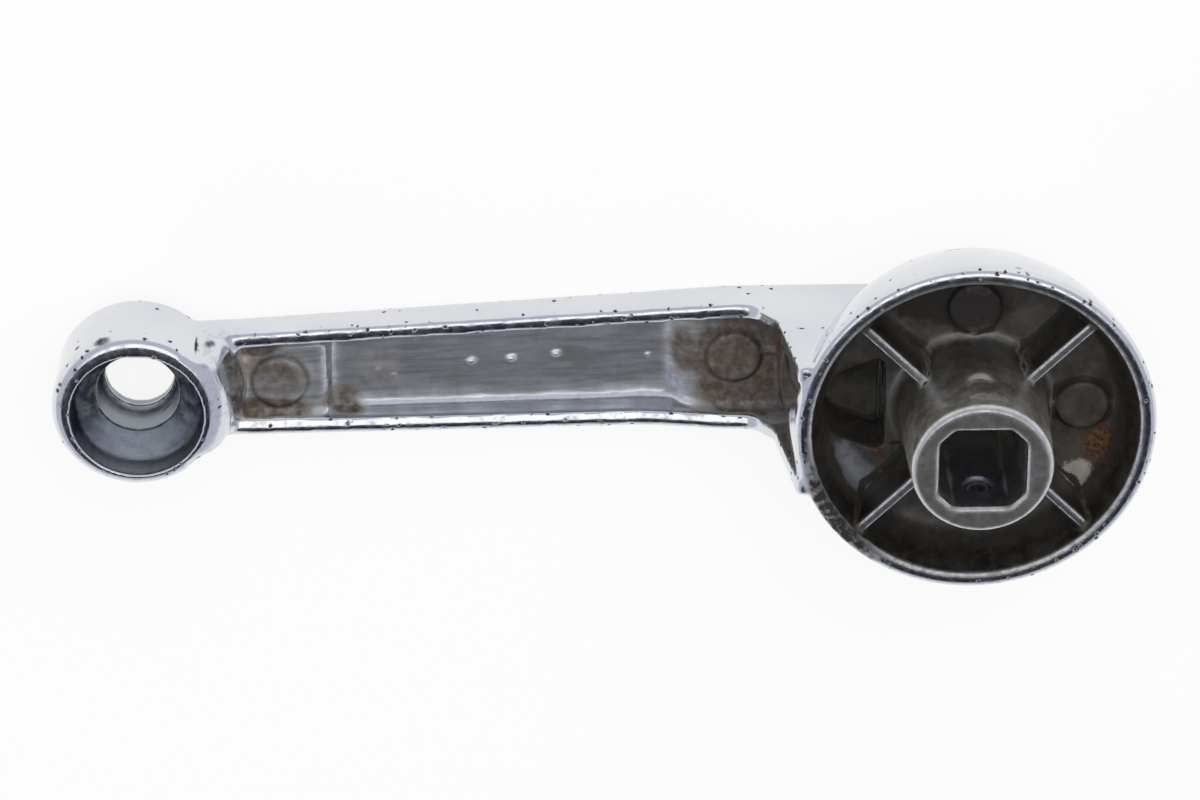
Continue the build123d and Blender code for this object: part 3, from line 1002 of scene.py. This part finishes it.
    # Painted shade: the cup darker towards its floor.
    deep = w.maths("MULTIPLY", w.mask("deep"), w.between(patch, 0.3, 0.7, 0.25, 0.7))
    grime_and_shade = w.maths("MAXIMUM", grime_and_shade, w.maths("MAXIMUM", soot_and_shade, deep))
    grime_and_shade = w.maths("MAXIMUM", grime_and_shade, w.maths("MULTIPLY", w.mask("groove"), 0.6))
    base = w.mix(grime_and_shade, base, tuple(tint.grime_and_shade))
    rust = w.ragged(w.mask("rust"), fine, 1.2, 0.25, 0.90)
    rusty = w.mix(w.between(fine, 0.42, 0.58), TONES["black rust"], tuple(tint.rust))
    base = w.mix(rust, base, rusty)
    bloom = w.ragged(w.mask("bloom"), w.noise(1.0, 6), 3.0, 0.95, 1.35)
    bloom = w.maths("MULTIPLY", bloom, 0.4)
    base = w.mix(bloom, base, tuple(tint.bloom))

    # Roughness, and how far dirt and painted shade hide the metal.
    # dirt holds the specks and pits and the grime, which is partly painted shade.
    dirt = w.maths("MAXIMUM", dark, grime_and_shade)
    oxide = w.maths("MAXIMUM", rust, bloom)
    hazy = w.maths("MAXIMUM", top, w.maths("MULTIPLY", edge, 0.4))
    rough = w.between(broad, 0.3, 0.75, 0.09, 0.17)
    rough = w.blend(hazy, rough, w.between(coarse, 0.42, 0.64, 0.12, 0.28))
    matt = w.between(patch, 0.3, 0.7, 0.40, 0.52)
    rough = w.blend(channel, rough, w.blend(w.mask("flat"), 0.18, matt))
    rough = w.blend(bare_edge, rough, w.between(coarse, 0.3, 0.7, 0.42, 0.56))
    rough = w.blend(bore_edge, rough, w.between(coarse, 0.3, 0.7, 0.30, 0.42))
    rough = w.blend(ends, rough, 0.24)
    rough = w.blend(w.maths("MULTIPLY", stain, 0.9), rough, 0.55)
    rough = w.blend(scraped, rough, 0.50)
    rough = w.blend(dirt, rough, 0.75)
    rough = w.blend(oxide, rough, 0.75)
    cover = w.maths("MAXIMUM", dirt, oxide)
    cover = w.maths("MAXIMUM", cover, w.maths("MULTIPLY", stain, 0.85))
    metal = w.between(cover, 0.0, 1.0, 1.0, 0.1)

    # Fine relief that the mesh is too coarse to hold.
    height = w.maths("MULTIPLY", w.maths("MAXIMUM", bare_edge, bore_edge), fine)
    height = w.maths("MULTIPLY_ADD", w.maths("MULTIPLY", channel, streak), 0.35, height)
    height = w.maths("MULTIPLY_ADD", w.maths("MULTIPLY", top, fine), 0.30, height)
    height = w.maths("MULTIPLY_ADD", dark, -0.8, height)
    return w.shade(base, metal, rough, w.bump(height, 0.03))


# ---- Operators -----------------------------------------------------------------

class CRANK_OT_hub_shell(bpy.types.Operator):
    """Make the bell's polished outside, its rim and its front face"""

    bl_idname = "crank.hub_shell"
    bl_label = "Hub shell"

    def execute(self, context):
        piece("hub_shell", crank_finish())
        return {"FINISHED"}


class CRANK_OT_hub_cup(bpy.types.Operator):
    """Make the cup with its ribs, pads and the drive boss"""

    bl_idname = "crank.hub_cup"
    bl_label = "Cup and drive boss"

    def execute(self, context):
        piece("hub_cup", crank_finish())
        return {"FINISHED"}


class CRANK_OT_arm(bpy.types.Operator):
    """Make the channel arm"""

    bl_idname = "crank.arm"
    bl_label = "Arm"

    def execute(self, context):
        piece("arm", crank_finish())
        return {"FINISHED"}


class CRANK_OT_knob_ring(bpy.types.Operator):
    """Make the bored ring that carried the knob"""

    bl_idname = "crank.knob_ring"
    bl_label = "Knob ring"

    def execute(self, context):
        piece("knob_ring", crank_finish())
        return {"FINISHED"}


def floor_material(tint):
    """A pale floor that shows white to the lens and in reflections, and keeps shadows."""
    material = bpy.data.materials.new("pale floor")
    material.use_nodes = True
    nodes, links = material.node_tree.nodes, material.node_tree.links
    nodes.clear()
    path = nodes.new("ShaderNodeLightPath")
    rays = path.outputs["Is Camera Ray"]
    for kind in ("Is Glossy Ray", "Is Transmission Ray"):
        either = nodes.new("ShaderNodeMath")
        either.operation = "MAXIMUM"
        links.new(rays, either.inputs[0])
        links.new(path.outputs[kind], either.inputs[1])
        rays = either.outputs[0]
    share = nodes.new("ShaderNodeMath")
    share.operation = "MULTIPLY"
    share.inputs[1].default_value = FLOOR_GLOW
    links.new(rays, share.inputs[0])
    diffuse = nodes.new("ShaderNodeBsdfDiffuse")
    diffuse.inputs["Color"].default_value = (*tint, 1.0)
    glow = nodes.new("ShaderNodeEmission")
    glow.inputs["Strength"].default_value = 1.0
    mix = nodes.new("ShaderNodeMixShader")
    links.new(share.outputs[0], mix.inputs[0])
    links.new(diffuse.outputs[0], mix.inputs[1])
    links.new(glow.outputs[0], mix.inputs[2])
    output = nodes.new("ShaderNodeOutputMaterial")
    links.new(mix.outputs[0], output.inputs["Surface"])
    return material


def shades(node, stops):
    """Set a colour ramp's stops as (place, colour)."""
    elements = node.color_ramp.elements
    while len(elements) > 1:
        elements.remove(elements[-1])
    elements[0].position, elements[0].color = stops[0][0], (*stops[0][1], 1)
    for place, tone in stops[1:]:
        elements.new(place).color = (*tone, 1)


def studio_world():
    """A dome that lights and shows in the metal, and plain white for the lens."""
    world = bpy.data.worlds.new("studio")
    bpy.context.scene.world = world
    world.use_nodes = True
    nodes, links = world.node_tree.nodes, world.node_tree.links
    nodes.clear()
    coords = nodes.new("ShaderNodeTexCoord")
    facing = nodes.new("ShaderNodeVectorMath")
    facing.operation = "DOT_PRODUCT"
    links.new(coords.outputs["Generated"], facing.inputs[0])
    facing.inputs[1].default_value = DARK_CEILING
    ceiling = nodes.new("ShaderNodeValToRGB")
    links.new(facing.outputs["Value"], ceiling.inputs[0])
    shades(ceiling, CEILING_SHADES)
    split = nodes.new("ShaderNodeSeparateXYZ")
    links.new(coords.outputs["Generated"], split.inputs[0])
    height = nodes.new("ShaderNodeValToRGB")
    links.new(split.outputs["Z"], height.inputs[0])
    shades(height, DOME_SHADES)
    both = nodes.new("ShaderNodeVectorMath")
    both.operation = "MULTIPLY"
    links.new(ceiling.outputs[0], both.inputs[0])
    links.new(height.outputs[0], both.inputs[1])
    dome = nodes.new("ShaderNodeBackground")
    links.new(both.outputs[0], dome.inputs["Color"])
    plain = nodes.new("ShaderNodeBackground")
    plain.inputs["Color"].default_value = (1, 1, 1, 1)
    path = nodes.new("ShaderNodeLightPath")
    mix = nodes.new("ShaderNodeMixShader")
    links.new(path.outputs["Is Camera Ray"], mix.inputs[0])
    links.new(dome.outputs[0], mix.inputs[1])
    links.new(plain.outputs[0], mix.inputs[2])
    output = nodes.new("ShaderNodeOutputWorld")
    links.new(mix.outputs[0], output.inputs["Surface"])


def area_lamp(name, place, target, side, power):
    """A square soft lamp at place, facing target; the metal doesn't mirror it."""
    lamp = bpy.data.lights.new(name, "AREA")
    lamp.shape = "SQUARE"
    lamp.size = side
    lamp.energy = power
    thing = bpy.data.objects.new(name, lamp)
    thing.location = place
    aim = Vector(target) - Vector(place)
    thing.rotation_euler = aim.to_track_quat("-Z", "Y").to_euler()
    thing.visible_glossy = False
    bpy.context.scene.collection.objects.link(thing)


class CRANK_OT_stage(bpy.types.Operator):
    """Set up the floor, the lamps, the world and the camera"""

    bl_idname = "crank.stage"
    bl_label = "Stage"

    def execute(self, context):
        settings = context.scene.crank_stage
        corners = np.array([(-1, -1), (1, -1), (1, 1), (-1, 1)]) * FLOOR_REACH
        points = np.column_stack([corners, np.full(4, FRONT_Z * MM)])
        mesh = mesh_from("floor", points, np.array([[0, 1, 2, 3]]))
        mesh.materials.append(floor_material(tuple(settings.floor)))
        floor = bpy.data.objects.new("floor", mesh)
        context.scene.collection.objects.link(floor)
        area_lamp("key lamp", KEY_PLACE, LAMP_TARGET, KEY_SIDE, settings.lamp_power)
        area_lamp("fill lamp", FILL_PLACE, LAMP_TARGET, FILL_SIDE, settings.fill_power)
        studio_world()
        lens = bpy.data.cameras.new("camera")
        lens.lens = settings.lens
        lens.sensor_width = 36.0
        lens.clip_start, lens.clip_end = 0.01, 10.0
        camera = bpy.data.objects.new("camera", lens)
        camera.location = CAMERA_PLACE
        camera.rotation_euler = [math.radians(angle) for angle in CAMERA_TURN]
        context.scene.collection.objects.link(camera)
        context.scene.camera = camera
        context.scene.view_settings.view_transform = "Standard"
        return {"FINISHED"}


class CRANK_PT_panel(bpy.types.Panel):
    """The crank's pieces and settings"""

    bl_label = "Worn window crank"
    bl_space_type = "VIEW_3D"
    bl_region_type = "UI"
    bl_category = "Crank"

    def draw(self, context):
        for operator in OPERATORS:
            self.layout.operator(operator.bl_idname)
        for group in SETTINGS:
            box = self.layout.box()
            settings = getattr(context.scene, group)
            for name in type(settings).__annotations__:
                box.prop(settings, name)


OPERATORS = (
    CRANK_OT_hub_shell, CRANK_OT_hub_cup, CRANK_OT_arm, CRANK_OT_knob_ring, CRANK_OT_stage,
)
SETTINGS = {"crank_sizes": CrankSizes, "crank_finish": CrankFinish, "crank_stage": CrankStage}


def register():
    """Make the settings, the operators and the panel known to Blender."""
    for group in SETTINGS.values():
        bpy.utils.register_class(group)
    for name, group in SETTINGS.items():
        setattr(bpy.types.Scene, name, bpy.props.PointerProperty(type=group))
    for operator in (*OPERATORS, CRANK_PT_panel):
        bpy.utils.register_class(operator)


def unregister():
    """Take them away again."""
    for operator in (CRANK_PT_panel, *reversed(OPERATORS)):
        bpy.utils.unregister_class(operator)
    for name, group in SETTINGS.items():
        delattr(bpy.types.Scene, name)
        bpy.utils.unregister_class(group)


def main():
    """Build the whole scene."""
    register()
    bpy.ops.crank.hub_shell()
    bpy.ops.crank.hub_cup()
    bpy.ops.crank.arm()
    bpy.ops.crank.knob_ring()
    bpy.ops.crank.stage()


if __name__ == "__main__":
    main()
